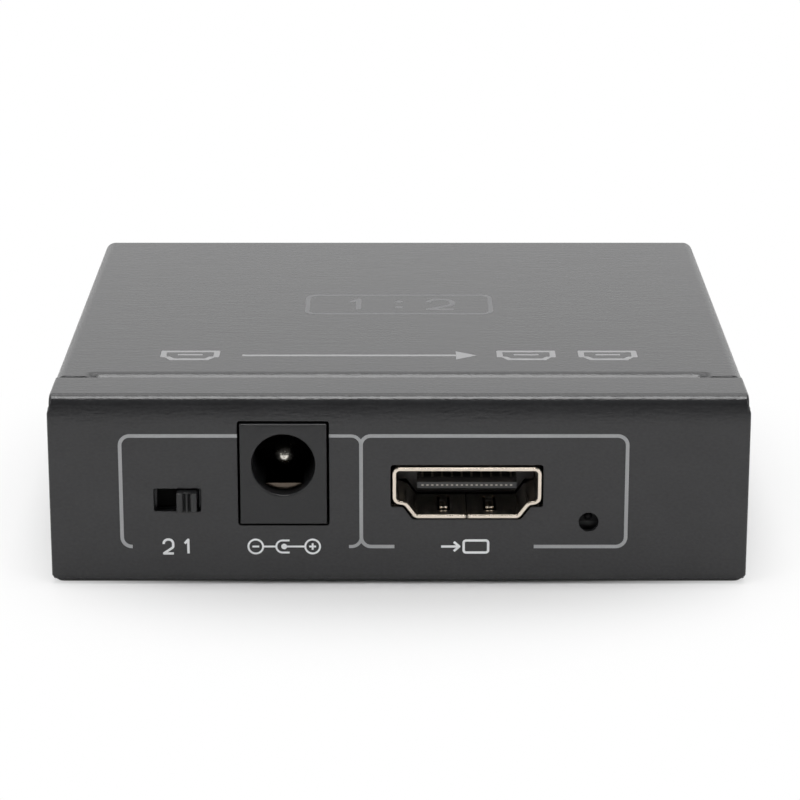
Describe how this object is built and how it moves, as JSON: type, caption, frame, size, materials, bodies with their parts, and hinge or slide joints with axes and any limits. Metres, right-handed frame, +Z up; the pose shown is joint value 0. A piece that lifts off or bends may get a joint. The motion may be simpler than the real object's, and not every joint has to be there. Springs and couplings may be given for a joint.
{
  "type": "hdmi splitter",
  "caption": "Flat folded-steel box that copies one digital video input to its output sockets, with a barrel power jack, a mode slide switch and pinhole indicators.",
  "frame": {"origin": "middle of the underside of the casing", "axes": "+X right along the front panel, +Y from the front panel to the output panel, +Z up"},
  "size_m": [0.0734, 0.0663, 0.02],
  "materials": {
    "casing_paint": "fine-textured charcoal powder coat",
    "screw_black": "black oxide",
    "zinc_plate": "bright zinc plating",
    "board_laminate": "black solder mask",
    "socket_plating": "satin nickel plating, slightly warm",
    "black_moulding": "satin black moulding",
    "contact_plating": "pale plating over bronze",
    "tin_plate": "bright tin plating",
    "phenolic_base": "brown phenolic",
    "lamp_resin": "smoked resin",
    "chip_resin": "fine matt moulding compound",
    "bonding_tape": "soft filled tape",
    "sink_aluminium": "plain extruded",
    "ferrite_core": "pressed ferrite",
    "can_nickel": "nickel plating",
    "ceramic_body": "fired ceramic with tinned ends"
  },
  "bodies": {
    "housing": {"base_chassis": "casing_paint", "top_cover": "casing_paint", "cover_screws": "screw_black", "board_standoffs": "zinc_plate", "circuit_board": "board_laminate", "board_screws": "zinc_plate", "video_in_sleeve": "socket_plating", "video_in_insulator": "black_moulding", "video_in_contacts": "contact_plating", "video_out_1_sleeve": "socket_plating", "video_out_1_insulator": "black_moulding", "video_out_1_contacts": "contact_plating", "video_out_2_sleeve": "socket_plating", "video_out_2_insulator": "black_moulding", "video_out_2_contacts": "contact_plating", "power_jack_body": "black_moulding", "power_jack_pin": "tin_plate", "power_jack_spring": "tin_plate", "power_jack_terminals": "tin_plate", "switch_frame": "screw_black", "switch_base": "phenolic_base", "switch_terminals": "tin_plate", "input_led": "lamp_resin", "output_1_led": "lamp_resin", "output_2_led": "lamp_resin", "splitter_chip": "chip_resin", "heat_sink_tape": "bonding_tape", "heat_sink": "sink_aluminium", "memory_chip": "chip_resin", "voltage_regulators": "chip_resin", "power_inductor": "ferrite_core", "bulk_capacitors": "sink_aluminium", "crystal": "can_nickel", "surge_arrays": "chip_resin", "ceramic_capacitors": "ceramic_body", "chip_resistors": "chip_resin"},
    "slider": {"switch_slider": "black_moulding", "switch_wiper": "contact_plating"}
  },
  "joints": [
    {"name": "switch_slide", "type": "slide", "parent": "housing", "child": "slider", "axis": [1, 0, 0], "range_m": [-0.002, 0]}
  ]
}
